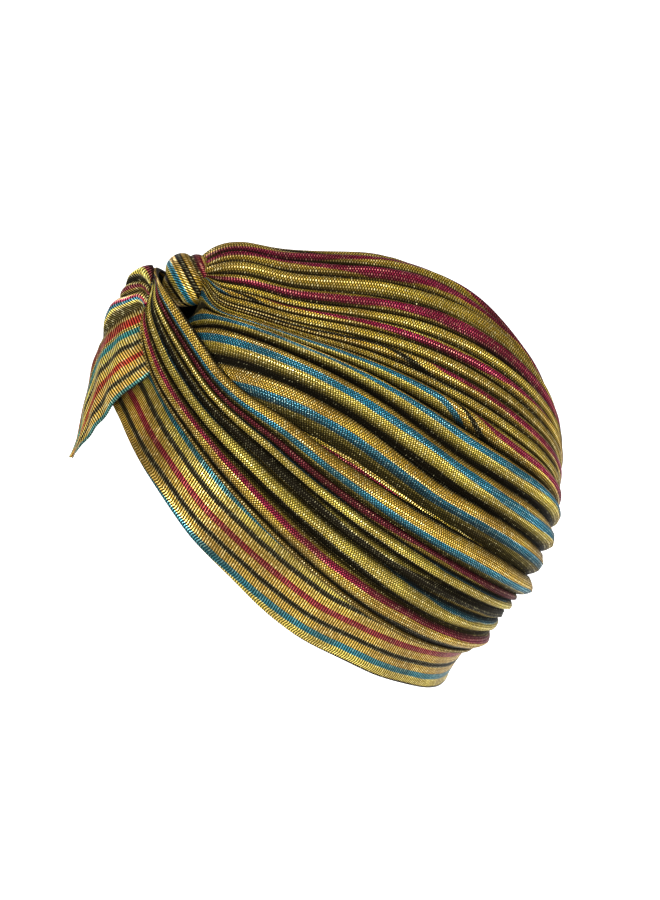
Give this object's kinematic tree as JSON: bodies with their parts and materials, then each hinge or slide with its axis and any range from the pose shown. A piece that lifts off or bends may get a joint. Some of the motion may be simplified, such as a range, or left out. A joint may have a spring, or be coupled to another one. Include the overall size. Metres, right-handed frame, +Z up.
{
  "type": "pleated turban hat",
  "caption": "Pleated turban hat in striped metallic mesh cloth, with a flat rim band, wraps crossing to a front knot, and a pointed tie end hanging in front.",
  "frame": {"origin": "the middle of the rim opening, where the hat sits on a head", "axes": "+Z up with the head upright, -Y the front with the knot and the hanging tie end, +X the wearer's left; the rim rises 43 degrees from the nape to the forehead"},
  "size_m": [0.1696, 0.2271, 0.2141],
  "materials": {
    "crown_cloth": "open metallic mesh, striped gold, blue, crimson and black",
    "band_cloth": "open metallic mesh, striped gold, teal, crimson and black",
    "wrap_cloth": "open metallic mesh, striped gold, blue, crimson and black",
    "knot_cloth": "open metallic mesh, striped gold, blue, crimson and black",
    "tail_cloth": "ribbed metallic mesh, striped gold, teal, crimson and black"
  },
  "bodies": {
    "root": {"crown": "crown_cloth", "rim_band": "band_cloth", "left_wrap": "wrap_cloth", "right_wrap": "wrap_cloth", "knot": "knot_cloth", "tail": "tail_cloth"}
  },
  "joints": []
}
